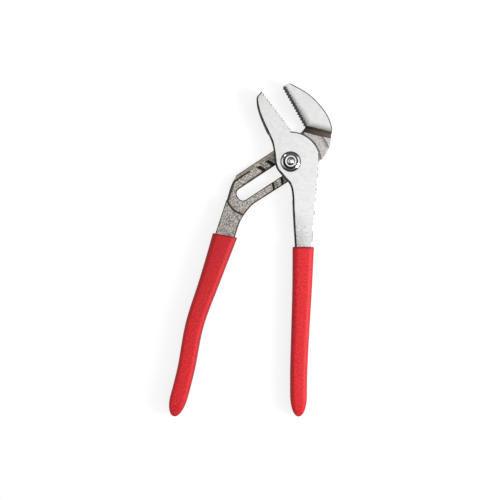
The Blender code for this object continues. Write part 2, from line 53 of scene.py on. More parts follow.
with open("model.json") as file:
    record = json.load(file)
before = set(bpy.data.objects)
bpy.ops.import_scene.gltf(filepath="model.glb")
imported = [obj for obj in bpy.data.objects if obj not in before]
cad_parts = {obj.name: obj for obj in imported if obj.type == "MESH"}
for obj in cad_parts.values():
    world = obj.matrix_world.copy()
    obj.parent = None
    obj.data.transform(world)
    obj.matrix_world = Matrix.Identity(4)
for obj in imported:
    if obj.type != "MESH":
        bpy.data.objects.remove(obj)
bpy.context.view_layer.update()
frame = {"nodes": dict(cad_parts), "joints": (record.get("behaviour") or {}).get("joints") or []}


def heading(angle):
    """The direction in plan at this angle from +X."""
    return Vector((math.cos(angle), math.sin(angle), 0.0))


# Directions, levels and boxes that the frame gives
JOINTS = {joint["name"]: joint for joint in frame["joints"]}
ALONG_SLOT = Vector(JOINTS["jaw_adjust"]["axis"])
ACROSS_SLOT = heading(math.atan2(ALONG_SLOT.y, ALONG_SLOT.x) + math.pi / 2)
FARTHEST_STATION, NEAREST_STATION = JOINTS["jaw_adjust"]["range_m"]
LEVER_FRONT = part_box("tongue_lever")[1].z
WASHER_LOW, WASHER_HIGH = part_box("pivot_washer")
NUT_LOW, NUT_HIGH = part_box("pivot_nut")
BOLT_LOW, BOLT_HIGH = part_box("pivot_bolt")
GRIP_LOW, GRIP_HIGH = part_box("slotted_lever_grip")

# The bar: its front, how far its slanted end is from the pivot, the steps between its stations, and places
# across it from the slot's middle line
BAR_FRONT = 0.0065
BAR_END = 0.0350
STATION_STEPS = 6
STATION_PITCH = (NEAREST_STATION - FARTHEST_STATION) / STATION_STEPS
SLOT_EDGE = 0.0049
SLOPE_FOOT = 0.0114
SLOPE_RIM = 0.0146

# Fineness
MERGE_DISTANCE = 0.000001
SHORTEST_EDGE = 0.0002
FLAT_ANGLE = math.radians(0.5)
GENTLE_ANGLE = math.radians(1.5)
SHARP_ANGLE = math.radians(32)
WALL_EASE = 0.0007
CURVE_STEP = 0.0022
WALL_STEPS = 2
RIM_STEPS, BODY_STEPS, END_STEPS, CORNER_STEPS = 4, 64, 14, 8
DOME_STEPS = 10

# How a face lies, from the upright part of its normal
LEVEL_FACE = 0.99
FRONT_FACE = 0.98
SLOPED_FACE = 0.9
SIDE_FACE = 0.3

# Reach of the tests that pick a lever's edges and faces
SAME_LEVEL = 0.0001
TEETH_REACH = 0.0014
WALL_RIM_REACH = 0.0010
JAW_CORNER_REACH = 0.0030
CHANNEL_REACH = 0.0030
BAR_REACH = 0.0045
HEEL_REACH = 0.0035
TAIL_REACH = 0.0040
RECESS_ARC_REACH = 0.0005
HEAD_ARC_REACH = 0.0004

# Places of a lever's finishes in its material slots
FACE, EDGE, SCALE, FORGED, STRIP = range(5)


def a_length(name, default, description):
    """A length setting, in metres."""
    return FloatProperty(name=name, description=description, default=default, unit="LENGTH")


def a_power(name, default, description):
    """A lamp's power setting, in watts."""
    return FloatProperty(name=name, description=description, default=default, unit="POWER")


def an_angle(name, degrees, description):
    """An angle setting, given in degrees."""
    return FloatProperty(name=name, description=description, default=math.radians(degrees), subtype="ANGLE")


def a_place(name, default, description):
    """A setting of a place or an offset, in metres."""
    size = len(default)
    return FloatVectorProperty(name=name, description=description, default=default, size=size, unit="LENGTH")


def a_colour(name, default, description):
    """A colour setting."""
    return FloatVectorProperty(name=name, description=description, default=default, subtype="COLOR")


def four_headings(degrees):
    """The setting of a grip's route."""
    return FloatVectorProperty(
        name="Headings",
        description="Turns of the route's four stretches from straight down",
        default=tuple(math.radians(turn) for turn in degrees),
        size=4,
        unit="ROTATION",
    )


def a_taper(default):
    """The setting of how a grip narrows."""
    description = "How fast the width falls from the mouth"
    return FloatProperty(name="Taper", description=description, default=default)


class PliersLeverSettings(bpy.types.PropertyGroup):
    """Sizes and colours of the two levers."""

    face_edge: a_length("Face Edge", 0.0012, "Width of the rounded edge around the tongue lever's front")
    jaw_edge: a_length("Jaw Edge", 0.0008, "Width of the rounded edge around the fixed jaw's front")
    fine_edge: a_length("Fine Edge", 0.0003, "Width of the fine edge on teeth, head, neck and wedge")
    bar_edge: a_length("Bar Edge", 0.0007, "Width of the eased edge along the bar, its slot and the tang")
    edge_steps: IntProperty(name="Edge Steps", description="Faces across each eased edge", default=3, min=1)
    moving_jaw_angle: an_angle("Moving Jaw Angle", 36.8, "Direction that the moving jaw's teeth face")
    fixed_jaw_angle: an_angle("Fixed Jaw Angle", 29.0, "Direction behind the fixed jaw's teeth")
    shoulder_angle: an_angle("Shoulder Angle", 76.6, "Direction behind the wall at the jaw's foot")
    bar_end_angle: an_angle("Bar End Angle", 161.6, "Direction that the slanted end of the bar faces")
    groove_radius: a_length("Groove Radius", 0.0203, "Radius of each groove's dark wall")
    head_radius: a_length("Head Radius", 0.0224, "Radius of the round head about the pivot")
    recess_centre: a_place(
        "Recess Centre", (-0.0317, -0.0230, 0.0), "Middle of the arc where the bar's relief ends"
    )
    recess_radius: a_length("Recess Radius", 0.0170, "Radius of the arc where the bar's relief ends")
    satin_colour: a_colour("Satin Steel", (0.87, 0.87, 0.865), "Ground and polished faces")
    tip_colour: a_colour("Jaw Tip", (0.62, 0.52, 0.42), "Brown tint at the moving jaw's tip")
    # Colour of the painted shade by the fixed jaw's teeth and wall.
    jaw_shade_colour: a_colour("Worn Jaw", (0.17, 0.17, 0.145), "Steel by the fixed jaw's teeth and wall")
    break_colour: a_colour("Edge Breaks", (0.05, 0.046, 0.042), "Dark breaks in the bright edges")
    forged_light: a_colour("Forged Steel, Light", (0.74, 0.69, 0.645), "Light specks of the forging")
    forged_dark: a_colour("Forged Steel, Dark", (0.20, 0.18, 0.16), "Dark specks of the forging")
    foot_light: a_colour("Jaw Foot, Light", (0.74, 0.71, 0.68), "Light specks at the fixed jaw's foot")
    foot_dark: a_colour("Jaw Foot, Dark", (0.46, 0.435, 0.41), "Dark specks at the fixed jaw's foot")
    # Also the colour of the painted shade lines on the bar and its strip, and of the painted shade on the
    # tongue lever's seams and edges.
    scale_and_shade_colour: a_colour(
        "Forging Scale", (0.022, 0.018, 0.014), "Dark scale on the sides, the walls and the channel"
    )
    strip_colour: a_colour("Sloped Strip", (0.40, 0.37, 0.29), "Oiled slope along the bar's upper edge")


class PliersPivotSettings(bpy.types.PropertyGroup):
    """Sizes and colours of the bolt, washer and nut."""

    end_radius: a_length("Bolt End Radius", 0.0029, "Radius of the bolt's end in the washer and nut")
    clearance: a_length("Clearance", 0.0003, "Gap between the bolt's end and the bores around it")
    dome: a_length("Dome", 0.0009, "Height of the dome on the bolt's end")
    dome_radius: a_length("Dome Radius", 0.0023, "Radius of the dome on the bolt's end")
    dome_neck: a_length("Dome Neck", 0.0005, "Depth of the groove around the dome")
    shank_radius: a_length("Shank Radius", 0.0046, "Radius of the bolt in the slot and the head")
    head_radius: a_length("Bolt Head Radius", 0.0080, "Radius of the bolt's head, behind the bar")
    head_flat: a_length("Bolt Head Flat", 0.0069, "Distance of the bolt head's flats from the axis")
    head_height: a_length("Bolt Head Height", 0.0021, "Thickness of the bolt's head")
    bolt_ease: a_length("Bolt Ease", 0.0004, "Width of the eased edges on the bolt's head and shank")
    end_ease: a_length("Bolt End Ease", 0.0002, "Width of the eased edge on the bolt's end")
    crest_inset: a_length("Crest Inset", 0.0018, "Distance of the washer's crest from its rim")
    dish_slope: a_length("Dish Slope", 0.0007, "Width of the slope from the washer's crest to its dish")
    rim_ease: a_length("Rim Ease", 0.0001, "Width of the eased edges on the washer's rim and crest")
    crest_drop: a_length("Crest Drop", 0.00004, "Height of the eased edges on the washer's crest")
    turn_steps: IntProperty(
        name="Turn Steps", description="Steps in a full turn of a turned piece", default=96, min=12
    )
    chrome_colour: a_colour("Bright Chrome", (0.88, 0.88, 0.88), "Plated bolt, washer and nut")
    # Colour of the painted shade in the pivot's seams.
    pivot_shade_colour: a_colour("Grime", (0.030, 0.027, 0.024), "Dark oil in the seams of the pivot")


class PliersSlottedGripSettings(bpy.types.PropertyGroup):
    """Route and widths of the grip on the slotted lever."""

    mouth: a_place("Mouth", (-0.0491, -0.0548), "Middle of the grip's mouth")
    headings: four_headings((18.8, 18.9, 11.0, 14.8))
    length: a_length("Length", 0.1420, "Length from the mouth to the rounded end")
    mouth_width: a_length("Mouth Width", 0.0145, "Width of the steel at the mouth")
    coat: a_length("Coat", 0.00205, "Thickness of the dipped coat with its clearance")
    taper: a_taper(3.0)
    mouth_turn: an_angle("Mouth Turn", 8.0, "Tilt of the dip line across the handle")


class PliersTongueGripSettings(bpy.types.PropertyGroup):
    """Route and widths of the grip on the tongue lever."""

    mouth: a_place("Mouth", (0.0097, -0.0635), "Middle of the grip's mouth")
    headings: four_headings((1.6, 2.5, 2.1, 0.2))
    length: a_length("Length", 0.1276, "Length from the mouth to the rounded end")
    mouth_width: a_length("Mouth Width", 0.0124, "Width of the steel at the mouth")
    coat: a_length("Coat", 0.00180, "Thickness of the dipped coat with its clearance")
    taper: a_taper(1.7)
    mouth_turn: an_angle("Mouth Turn", 1.0, "Tilt of the dip line across the handle")


class PliersGripSettings(bpy.types.PropertyGroup):
    """Sizes and colour that both grips share."""

    steel_end_width: a_length("Steel End Width", 0.0088, "Width of the steel at a handle's far end")
    corner: a_length("Corner", 0.0042, "Radius of the coat's long corners")
    lip: a_length("Lip", 0.0007, "Rounding of the mouth's rim")
    end_round: a_length("End Round", 0.0155, "Length of the rounded end")
    tilt_length: a_length("Tilt Length", 0.0120, "Length over which the tilt at the mouth fades")
    pocket: a_length("Pocket Shortfall", 0.0116, "How far the hollow stops short of the end")
    clearance: a_length("Clearance", 0.0003, "Gap between the coat and the sides of the steel")
    pocket_half_height: a_length("Pocket Half Height", 0.0045, "Half of the hollow's height")
    vinyl_colour: a_colour("Red Vinyl", (0.74, 0.018, 0.026), "Colour of the dipped coat")


class PliersStageSettings(bpy.types.PropertyGroup):
    """The floor, lights and camera."""

    view_centre: a_place("View Centre", (-0.0303, -0.0658, 0.0090), "Point in the middle of the picture")
    view_width: a_length("View Width", 0.375, "Width of the picture at the view centre")
    camera_place: a_place("Camera Place", (0.010, 0.0, 0.560), "Place of the camera from the view centre")
    floor_half: a_length("Floor Half Width", 3.0, "Half of the floor's width")
    floor_colour: a_colour("Floor", (0.30, 0.30, 0.30), "Colour of the pale floor")
    floor_glow: FloatProperty(
        name="Floor White", description="White that the floor adds where it is seen", default=0.78
    )
    sky_top: a_colour("Overhead", (1.06, 1.06, 1.06), "Light from overhead and from the low horizon")
    sky_rim: a_colour("Sides", (0.10, 0.10, 0.10), "Light from the darker sides of the sky")
    key_place: a_place("Key Place", (0.40, -0.16, 0.27), "Place of the large lamp")
    key_width: a_length("Key Width", 0.24, "Width of the large lamp")
    key_power: a_power("Key Power", 2.0, "Power of the large lamp")
    fill_place: a_place("Fill Place", (-0.29, 0.40, 0.25), "Place of the small lamp")
    fill_width: a_length("Fill Width", 0.12, "Width of the small lamp")
    fill_power: a_power("Fill Power", 0.10, "Power of the small lamp")


class NodeBench:
    """A node tree, with short ways to add and join its nodes."""

    def __init__(self, tree):
        self.tree = tree

    def add(self, kind, output=0, values=None, **settings):
        """Adds a node, sets or joins its inputs, and gives one of its outputs."""
        node = self.tree.nodes.new("ShaderNode" + kind)
        for key, value in settings.items():
            setattr(node, key, value)
        for key, value in (values or {}).items():
            self.give(node.inputs[key], value)
        return node.outputs[output]

    def give(self, socket, value):
        """Joins an output to an input, or sets the input."""
        if isinstance(value, bpy.types.NodeSocket):
            self.tree.links.new(value, socket)
        else:
            socket.default_value = (*value, 1.0) if socket.type == "RGBA" else value

    def math(self, operation, *values):
        return self.add("Math", values=dict(enumerate(values)), operation=operation)

    def product(self, *values):
        """All the values multiplied together."""
        return functools.reduce(functools.partial(self.math, "MULTIPLY"), values)

    def most(self, *values):
        """The greatest of the values."""
        return functools.reduce(functools.partial(self.math, "MAXIMUM"), values)

    def ramp(self, value, low, high, first=0.0, last=1.0):
        """Runs from first to last while the value goes from low to high."""
        values = {"Value": value, "From Min": low, "From Max": high, "To Min": first, "To Max": last}
        return self.add("MapRange", values=values)

    def between(self, value, low, high, soft):
        """One from low to high, and none outside."""
        return self.product(self.ramp(value, low - soft, low), self.ramp(value, high, high + soft, 1.0, 0.0))

    def mix(self, share, one, other):
        """A colour that goes from one to the other."""
        return self.add("Mix", output=2, values={"Factor": share, 6: one, 7: other}, data_type="RGBA")

    def part(self, vector, axis):
        """One of a vector's three parts."""
        return self.add("SeparateXYZ", output=axis, values={0: vector})


class FinishNodes(NodeBench):
    """The nodes of one finish."""

    def __init__(self, name):
        self.material = bpy.data.materials.new(name)
        self.material.use_nodes = True
        super().__init__(self.material.node_tree)
        self.shader = self.tree.nodes["Principled BSDF"]

    @functools.cached_property
    def place(self):
        return self.add("TexCoord", output="Object")

    def axis(self, axis):
        return self.part(self.place, axis)

    def noise(self, scale, detail=4.0, roughness=0.6):
        """Noise from 0 to 1, with this many features to a metre."""
        values = {"Vector": self.place, "Scale": scale, "Detail": detail, "Roughness": roughness}
        return self.add("TexNoise", values=values)

    def along(self, direction):
        """Distance along a direction of the plan."""
        values = {0: self.place, 1: direction}
        return self.add("VectorMath", output="Value", values=values, operation="DOT_PRODUCT")

    def radius(self, centre=(0.0, 0.0, 0.0)):
        """Distance in plan from a centre, or from the pivot axis."""
        off = self.add("VectorMath", values={0: self.place, 1: centre}, operation="SUBTRACT")
        plan = self.add("VectorMath", values={0: off, 1: (1.0, 1.0, 0.0)}, operation="MULTIPLY")
        return self.add("VectorMath", output="Value", values={0: plan}, operation="LENGTH")

    def bump(self, height, depth, strength=1.0):
        values = {"Height": height, "Distance": depth, "Strength": strength}
        self.give(self.shader.inputs["Normal"], self.add("Bump", values=values))

    def roughen(self, grain, low, high):
        """Makes the finish rougher where the grain is high."""
        self.give(self.shader.inputs["Roughness"], self.ramp(grain, 0.3, 0.7, low, high))

    def set(self, **values):
        """Sets or joins the shader's inputs, named with underscores for spaces, and gives the finish."""
        for key, value in values.items():
            self.give(self.shader.inputs[key.replace("_", " ")], value)
        return self.material


def satin_steel(settings, jaw_reach):
    """Ground steel: pale with a fine grain, brown at the jaw's tip, with painted shade on the neck and at the
    seams.
    """
    nodes = FinishNodes("satin_steel")
    clouds = nodes.noise(330.0, detail=3.0)
    grain = nodes.noise(900.0, detail=3.0)
    pale = Vector(settings.satin_colour)
    cloudy = nodes.mix(nodes.ramp(clouds, 0.35, 0.65), pale * 1.03, pale * 0.96)
    speckled = nodes.mix(nodes.ramp(grain, 0.55, 0.75, 0.0, 0.6), cloudy, pale * 0.74)
    along_jaw = nodes.along(heading(settings.moving_jaw_angle + math.pi / 2))
    tip = nodes.ramp(along_jaw, jaw_reach - 0.012, jaw_reach)
    tint = nodes.product(tip, nodes.ramp(clouds, 0.3, 0.8, 0.1, 0.45))
    tinted = nodes.mix(tint, speckled, settings.tip_colour)
    # Painted shade on the lower neck, strongest on its left part.
    down_neck = nodes.ramp(nodes.axis("Y"), -0.034, -0.062)
    inward = nodes.ramp(nodes.axis("X"), 0.0035, 0.0140, 1.0, 0.25)
    neck_shade = nodes.product(down_neck, inward, nodes.ramp(grain, 0.35, 0.65, 0.3, 1.0))
    neck_shaded = nodes.mix(neck_shade, tinted, pale * 0.26)
    # Painted contact shade in the seam around the washer and along the head's upper right arc, on the front
    # faces.
    radius = nodes.radius()
    washer_seam = nodes.between(radius, WASHER_HIGH.x, WASHER_HIGH.x + 0.0002, 0.0002)
    head_rim = nodes.between(radius, settings.head_radius - 0.0008, settings.head_radius + 0.0003, 0.0003)
    right = nodes.ramp(nodes.axis("X"), -0.0008, 0.0004)
    above = nodes.ramp(nodes.axis("Y"), 0.003, 0.009)
    front = nodes.ramp(nodes.axis("Z"), LEVER_FRONT - 0.003, LEVER_FRONT - 0.002, 0.0, 0.85)
    painted_shade = nodes.product(nodes.most(washer_seam, nodes.product(head_rim, right, above)), front)
    nodes.bump(grain, 0.00001)
    nodes.roughen(grain, 0.34, 0.48)
    return nodes.set(Base_Color=nodes.mix(painted_shade, neck_shaded, settings.scale_and_shade_colour), Metallic=1.0)


def groove_shade(nodes, settings):
    """Dark arcs along one wall of each groove, one station pitch apart and wider towards the upper slope."""
    across = nodes.along(ACROSS_SLOT)
    chord = nodes.math("SUBTRACT", settings.groove_radius**2, nodes.product(across, across))
    station = nodes.math("SUBTRACT", nodes.along(ALONG_SLOT), nodes.math("SQRT", chord))
    steps = nodes.math("DIVIDE", nodes.math("SUBTRACT", station, FARTHEST_STATION), STATION_PITCH)
    off = nodes.math("ABSOLUTE", nodes.math("SUBTRACT", steps, nodes.math("ROUND", steps)))
    half = nodes.ramp(across, -0.005, 0.011, 0.13, 0.22)
    band = nodes.ramp(nodes.math("SUBTRACT", half, off), -0.03, 0.03)
    below_slope = nodes.ramp(across, SLOPE_FOOT - 0.0006, SLOPE_FOOT, 1.0, 0.0)
    first = nodes.math("GREATER_THAN", steps, -0.5)
    last = nodes.math("LESS_THAN", steps, STATION_STEPS - 0.5)
    return nodes.product(band, below_slope, first, last)


def step_shade(nodes):
    """A dark line along the foot of the bar's upper slope, thick at the bar's end and thinner along it."""
    start, end = -0.0454, -0.0290
    along = nodes.along(ALONG_SLOT)
    wobble = nodes.ramp(nodes.noise(500.0), 0.3, 0.7, -0.0002, 0.0002)
    across = nodes.math("ADD", nodes.along(ACROSS_SLOT), wobble)
    off = nodes.math("ABSOLUTE", nodes.math("SUBTRACT", across, SLOPE_FOOT))
    half = nodes.ramp(along, start, end, 0.0009, 0.0005)
    line = nodes.ramp(nodes.math("SUBTRACT", half, off), -0.0001, 0.0002)
    return nodes.product(line, nodes.ramp(along, end, end + 0.0015, 1.0, 0.0))


def recess_shade(nodes, settings):
    """A dark line inside the arc where the bar's relief ends at the tang."""
    radius = nodes.radius(settings.recess_centre)
    line = nodes.ramp(radius, settings.recess_radius - 0.0014, settings.recess_radius - 0.0010, 0.0, 0.9)
    inside = nodes.ramp(radius, settings.recess_radius + 0.0001, settings.recess_radius + 0.0002, 1.0, 0.0)
    below = nodes.ramp(nodes.axis("Y"), -0.0275, -0.0260, 1.0, 0.0)
    return nodes.product(line, inside, below)


def bar_shade(nodes, settings):
    """Dark lines inside the slot's upper edge and inside the slanted end of the bar."""
    upper = nodes.between(nodes.along(ACROSS_SLOT), SLOT_EDGE, SLOT_EDGE + 0.0010, 0.0003)
    beside = nodes.between(nodes.along(ALONG_SLOT), FARTHEST_STATION, NEAREST_STATION, 0.0010)
    slot = nodes.product(upper, beside)
    end = nodes.ramp(nodes.along(heading(settings.bar_end_angle)), BAR_END - 0.0004, BAR_END)
    level = nodes.between(nodes.axis("Y"), -0.0290, -0.0130, 0.0010)
    return nodes.product(nodes.most(slot, nodes.product(end, level)), 0.85)


def forged_steel(settings):
    """Blasted forging: warm grey with light and dark specks, painted shade lines, and paler at the jaw's foot.
    """
    nodes = FinishNodes("forged_steel")
    specks = nodes.noise(900.0, detail=2.0)
    clouds = nodes.noise(260.0, detail=2.0)
    fine = nodes.ramp(specks, 0.42, 0.60, 0.0, 0.85)
    blend = nodes.math("ADD", fine, nodes.ramp(clouds, 0.35, 0.65, 0.0, 0.15))
    blasted = nodes.mix(blend, settings.forged_dark, settings.forged_light)
    paler = nodes.mix(blend, settings.foot_dark, settings.foot_light)
    toned = nodes.mix(nodes.ramp(nodes.along(ALONG_SLOT), 0.008, 0.018), blasted, paler)
    raised = nodes.ramp(nodes.axis("Z"), BAR_FRONT + 0.001, BAR_FRONT + 0.003, 0.0, 0.12)
    darker = nodes.mix(raised, toned, settings.forged_dark)
    # Painted shade lines in the grooves, along the slot's upper edge, the bar's slanted end, the slope's foot
    # and the recess arc.
    shades = groove_shade(nodes, settings), bar_shade(nodes, settings), recess_shade(nodes, settings)
    lines = nodes.most(step_shade(nodes), *shades)
    front = nodes.ramp(nodes.axis("Z"), BAR_FRONT / 2, BAR_FRONT / 2 + 0.001)
    lined = nodes.mix(nodes.product(lines, front), darker, settings.scale_and_shade_colour)
    nodes.bump(specks, 0.00006)
    nodes.roughen(specks, 0.50, 0.68)
    return nodes.set(Base_Color=lined, Metallic=0.75)


def jaw_steel(settings, face_start, wall_start):
    """Ground jaw: pale, with painted shade towards the teeth and the shoulder."""
    nodes = FinishNodes("ground_jaw")
    clouds = nodes.noise(180.0, detail=3.0)
    grain = nodes.noise(2400.0, detail=2.0)
    wobble = nodes.ramp(nodes.noise(700.0), 0.3, 0.7, -0.0006, 0.0006)
    pale = Vector(settings.satin_colour)
    cloudy = nodes.mix(nodes.ramp(clouds, 0.35, 0.75), pale, pale * 0.90)
    speckled = nodes.mix(nodes.ramp(grain, 0.55, 0.75, 0.0, 0.35), cloudy, pale * 0.78)
    # Painted shade that fades inwards from the teeth and from the wall at the jaw's foot.
    from_teeth = nodes.math("ADD", nodes.along(heading(settings.fixed_jaw_angle)), wobble)
    from_wall = nodes.math("ADD", nodes.along(heading(settings.shoulder_angle)), wobble)
    along_jaw = nodes.along(heading(settings.fixed_jaw_angle + math.pi / 2))
    spread = nodes.ramp(along_jaw, 0.020, 0.050, 0.0056, 0.0020)
    inwards = nodes.math("DIVIDE", nodes.math("SUBTRACT", from_teeth, face_start + 0.0008), spread)
    teeth_shade = nodes.ramp(inwards, 0.0, 1.0, 1.0, 0.0)
    wall_shade = nodes.ramp(from_wall, wall_start, wall_start + 0.0046, 1.0, 0.0)
    darker_share = nodes.math("POWER", nodes.most(teeth_shade, wall_shade), 1.3)
    nodes.bump(grain, 0.00001)
    nodes.roughen(grain, 0.34, 0.48)
    return nodes.set(Base_Color=nodes.mix(darker_share, speckled, settings.jaw_shade_colour), Metallic=1.0)


def forging_scale(settings):
    """Dark scale on the sides of the forgings, paler towards the outside of the fixed jaw."""
    nodes = FinishNodes("forging_scale")
    flakes = nodes.noise(900.0, detail=5.0, roughness=0.7)
    dark = Vector(settings.scale_and_shade_colour)
    flaky = nodes.mix(nodes.ramp(flakes, 0.4, 0.8), dark, dark * 3.0)
    paler = nodes.mix(nodes.ramp(nodes.axis("X"), 0.010, 0.028), flaky, dark * 8.0)
    nodes.bump(flakes, 0.00006)
    nodes.roughen(flakes, 0.55, 0.75)
    return nodes.set(Base_Color=paler, Metallic=0.3, Specular_IOR_Level=0.3)


def sloped_strip(settings):
    """Oiled, faintly green slope along the bar's upper edge, with painted shade along its rim and its foot."""
    nodes = FinishNodes("sloped_strip")
    specks = nodes.noise(1000.0, detail=5.0, roughness=0.7)
    oil = Vector(settings.strip_colour)
    oiled = nodes.mix(nodes.ramp(specks, 0.38, 0.62), oil * 0.45, oil * 1.6)
    # Painted shade along the strip's outer rim and the slope's foot.
    rim = nodes.ramp(nodes.along(ACROSS_SLOT), SLOPE_RIM - 0.0007, SLOPE_RIM, 0.0, 0.75)
    lined = nodes.mix(nodes.most(rim, step_shade(nodes)), oiled, settings.scale_and_shade_colour)
    nodes.bump(specks, 0.00006)
    nodes.roughen(specks, 0.45, 0.6)
    return nodes.set(Base_Color=lined, Metallic=0.6)


def satin_edge(settings, jaw_reach):
    """Eased edge of the ground lever: painted shade on the left sides and the head, else bright with dark
    breaks.
    """
    nodes = FinishNodes("satin_edge")
    breaks = nodes.noise(240.0, detail=2.0)
    darker_share = nodes.ramp(breaks, 0.44, 0.52)
    bright = nodes.mix(darker_share, Vector(settings.satin_colour) * 0.97, settings.break_colour)
    # Painted shade on the edges that face left below the jaw's tip, and along the head's upper arc.
    left = nodes.ramp(nodes.part(nodes.add("TexCoord", output="Normal"), "X"), -0.45, -0.20, 1.0, 0.0)
    along_jaw = nodes.along(heading(settings.moving_jaw_angle + math.pi / 2))
    below_tip = nodes.ramp(along_jaw, jaw_reach - 0.0022, jaw_reach - 0.0014, 1.0, 0.0)
    on_head = nodes.between(nodes.radius(), settings.head_radius - 0.0005, settings.head_radius, 0.0002)
    upper = nodes.ramp(nodes.axis("Y"), 0.003, 0.005)
    dark = nodes.most(nodes.product(left, below_tip), nodes.product(on_head, upper))
    nodes.roughen(breaks, 0.35, 0.5)
    return nodes.set(Base_Color=nodes.mix(dark, bright, Vector(settings.scale_and_shade_colour) * 2.0), Metallic=0.9)


def forged_edge(settings, jaw_reach):
    """Eased edge of the forging: dark scale with worn specks, grey at the jaw's foot and pale at its tip."""
    nodes = FinishNodes("forged_edge")
    breaks = nodes.noise(420.0, detail=3.0)
    dark = Vector(settings.scale_and_shade_colour) * 1.8
    wear_and_shade = nodes.mix(nodes.ramp(breaks, 0.56, 0.72), dark, settings.forged_dark)
    low = nodes.ramp(nodes.axis("Y"), 0.020, 0.024, 1.0, 0.0)
    foot = nodes.product(nodes.ramp(nodes.axis("X"), 0.008, 0.012), low)
    grey = (Vector(settings.forged_light) + Vector(settings.forged_dark)) / 2
    along_jaw = nodes.along(heading(settings.fixed_jaw_angle + math.pi / 2))
    tip = nodes.ramp(along_jaw, jaw_reach - 0.0012, jaw_reach - 0.0008)
    toned = nodes.mix(foot, wear_and_shade, grey)
    nodes.roughen(breaks, 0.4, 0.6)
    return nodes.set(Base_Color=nodes.mix(tip, toned, settings.satin_colour), Metallic=0.8)


def bright_chrome(settings):
    """Bright plating with faint marks, and painted shade around the bolt's end, the collar and the washer's
    rim.
    """
    nodes = FinishNodes("bright_chrome")
    marks = nodes.noise(1800.0, detail=2.0)
    colour = Vector(settings.chrome_colour)
    plated = nodes.mix(nodes.ramp(marks, 0.4, 0.7), colour, colour * 0.92)
    radius = nodes.radius()
    # Painted shade in the gap around the bolt's end, at the collar's foot and on the washer's rim.
    gap = nodes.between(radius, settings.dome_radius, settings.end_radius + settings.clearance, 0.0001)
    foot = nodes.between(radius, NUT_HIGH.x, NUT_HIGH.x + 0.0002, 0.0002)
    rim = nodes.ramp(radius, WASHER_HIGH.x - 0.0009, WASHER_HIGH.x - 0.0006, 0.0, 0.85)
    front = nodes.ramp(nodes.axis("Z"), LEVER_FRONT, WASHER_LOW.z)
    painted_shade = nodes.product(front, nodes.most(rim, gap, foot))
    nodes.roughen(marks, 0.06, 0.13)
    return nodes.set(Base_Color=nodes.mix(painted_shade, plated, settings.pivot_shade_colour), Metallic=1.0)


def red_vinyl(settings):
    """Dipped coat: red with a fine pebbled grain, with painted shade on its sides, its lip and by the slotted
    lever.
    """
    nodes = FinishNodes("red_vinyl")
    pebbles = nodes.noise(750.0, detail=3.0)
    patches = nodes.noise(90.0, detail=2.0)
    red = Vector(settings.vinyl_colour)
    grainy = nodes.mix(nodes.ramp(pebbles, 0.38, 0.62), red * 0.66, red * 1.30)
    uneven = nodes.mix(nodes.ramp(patches, 0.35, 0.65, 0.0, 0.5), grainy, red * 0.95)
    from_mouth = nodes.add("Attribute", output="Fac", attribute_name="from_mouth")
    # Painted shade on the slotted lever's grip, strongest at its mouth.
    by_slot = nodes.ramp(nodes.axis("X"), -0.040, -0.030, 1.0, 0.0)
    left_grip_shade = nodes.product(by_slot, nodes.ramp(from_mouth, 0.0, 0.10, 0.50, 0.0))
    wear_and_shade = nodes.mix(left_grip_shade, uneven, red * 0.55)
    # Painted shade on the coat's sides and along its lip.
    level = nodes.math("ABSOLUTE", nodes.part(nodes.add("TexCoord", output="Normal"), "Z"))
    lip = nodes.ramp(from_mouth, settings.lip, 2.5 * settings.lip, 0.8, 0.0)
    shade = nodes.most(lip, nodes.ramp(level, 0.30, 0.80, 0.75, 0.0))
    nodes.bump(pebbles, 0.00012, 0.7)
    nodes.roughen(pebbles, 0.50, 0.64)
    return nodes.set(Base_Color=nodes.mix(shade, wear_and_shade, red * 0.35), Specular_IOR_Level=0.3)


def is_side(face):
    """Whether a face stands upright."""
    return abs(face.normal.z) < SIDE_FACE


def is_slope(face):
    """Whether a face slopes towards the front."""
    return SIDE_FACE < face.normal.z < SLOPED_FACE


def middle_of(edge):
    """The point halfway along an edge."""
    return (edge.verts[0].co + edge.verts[1].co) / 2


def joined_copy(node):
    """A node's faceted solid as one joined surface with whole flat faces."""
    surface = bmesh.new()
    surface.from_mesh(frame["nodes"][node].data)
    bmesh.ops.remove_doubles(surface, verts=surface.verts, dist=MERGE_DISTANCE)
    bmesh.ops.dissolve_degenerate(surface, dist=10 * MERGE_DISTANCE, edges=surface.edges)
    bmesh.ops.dissolve_limit(surface, angle_limit=FLAT_ANGLE, verts=surface.verts, edges=surface.edges)
    sloped = {vert for face in surface.faces if is_slope(face) for vert in face.verts}
    free = [edge for edge in surface.edges if sloped.isdisjoint(edge.verts)]
    bmesh.ops.dissolve_degenerate(surface, dist=SHORTEST_EDGE, edges=free)
    bmesh.ops.dissolve_verts(surface, verts=[vert for vert in surface.verts if len(vert.link_edges) == 2])
    return surface


def object_of(name, surface, finishes):
    """An object that holds this surface with these finishes."""
    mesh = bpy.data.meshes.new(name)
    surface.to_mesh(mesh)
    surface.free()
    made = bpy.data.objects.new(name, mesh)
    bpy.context.scene.collection.objects.link(made)
    for finish in finishes:
        mesh.materials.append(finish)
    mesh.shade_smooth()
    mesh.set_sharp_from_angle(angle=SHARP_ANGLE)
    return made


def flatten_levels(piece):
    """Shades the level faces of a piece flat."""
    for face in piece.data.polygons:
        face.use_smooth = abs(face.normal.z) < LEVEL_FACE


def bevel(surface, parts, affect, width, steps):
    """Bevels edges or corners, and gives the new faces."""
    made = bmesh.ops.bevel(
        surface,
        geom=parts,
        offset=width,
        affect=affect,
        segments=steps,
        profile=0.5,
        clamp_overlap=False,
        material=-1,
    )
    return made["faces"]


